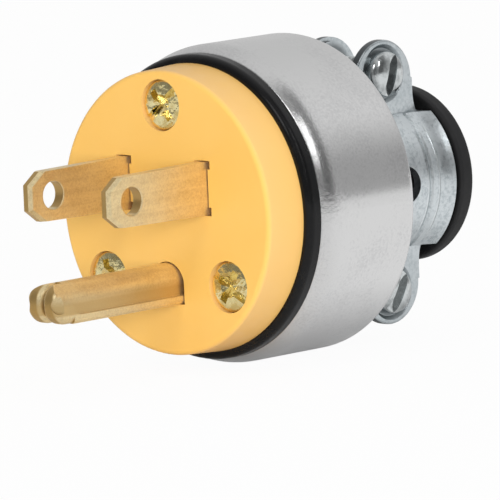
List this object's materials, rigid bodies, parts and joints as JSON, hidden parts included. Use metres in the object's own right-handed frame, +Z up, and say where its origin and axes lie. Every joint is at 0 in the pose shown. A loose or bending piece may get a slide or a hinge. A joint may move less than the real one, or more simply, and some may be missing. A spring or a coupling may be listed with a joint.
{
  "type": "industrial grounded plug",
  "caption": "Round grounded mains plug with flat blades, a folded ground pin, a moulded face, a steel shell and an outside cord clamp with a rubber bushing.",
  "frame": {"origin": "middle of the front face, on the plane that meets the socket outlet", "axes": "+Y along the plug axis towards the cord, -Y along the blades, +Z up with the ground pin below, +X to the right seen from the blades"},
  "size_m": [0.0378, 0.0632, 0.0376],
  "materials": {
    "face_plastic": "satin moulded yellow-orange",
    "liner_plastic": "glossy black",
    "shell_steel": "bright plated, satin",
    "blade_brass": "satin with fine grain",
    "face_screw_brass": "bright yellow plated",
    "clamp_zinc": "zinc plated, mottled",
    "clamp_screw_steel": "bright plated",
    "ground_screw_green": "green",
    "bushing_rubber": "matte black"
  },
  "bodies": {
    "root": {"front_body": "face_plastic", "insulating_liner": "liner_plastic", "steel_shell": "shell_steel", "line_blade": "blade_brass", "neutral_blade": "blade_brass", "ground_pin": "blade_brass", "clamp_half_right": "clamp_zinc", "clamp_half_left": "clamp_zinc", "cord_bushing": "bushing_rubber", "face_screw_top": "face_screw_brass", "face_screw_left": "face_screw_brass", "face_screw_right": "face_screw_brass", "clamp_screw_upper": "clamp_screw_steel", "clamp_screw_lower": "clamp_screw_steel", "line_terminal_screw": "face_screw_brass", "line_wire_plate": "blade_brass", "neutral_terminal_screw": "clamp_screw_steel", "neutral_wire_plate": "clamp_screw_steel", "ground_terminal_screw": "ground_screw_green", "ground_wire_plate": "clamp_screw_steel"}
  },
  "joints": []
}
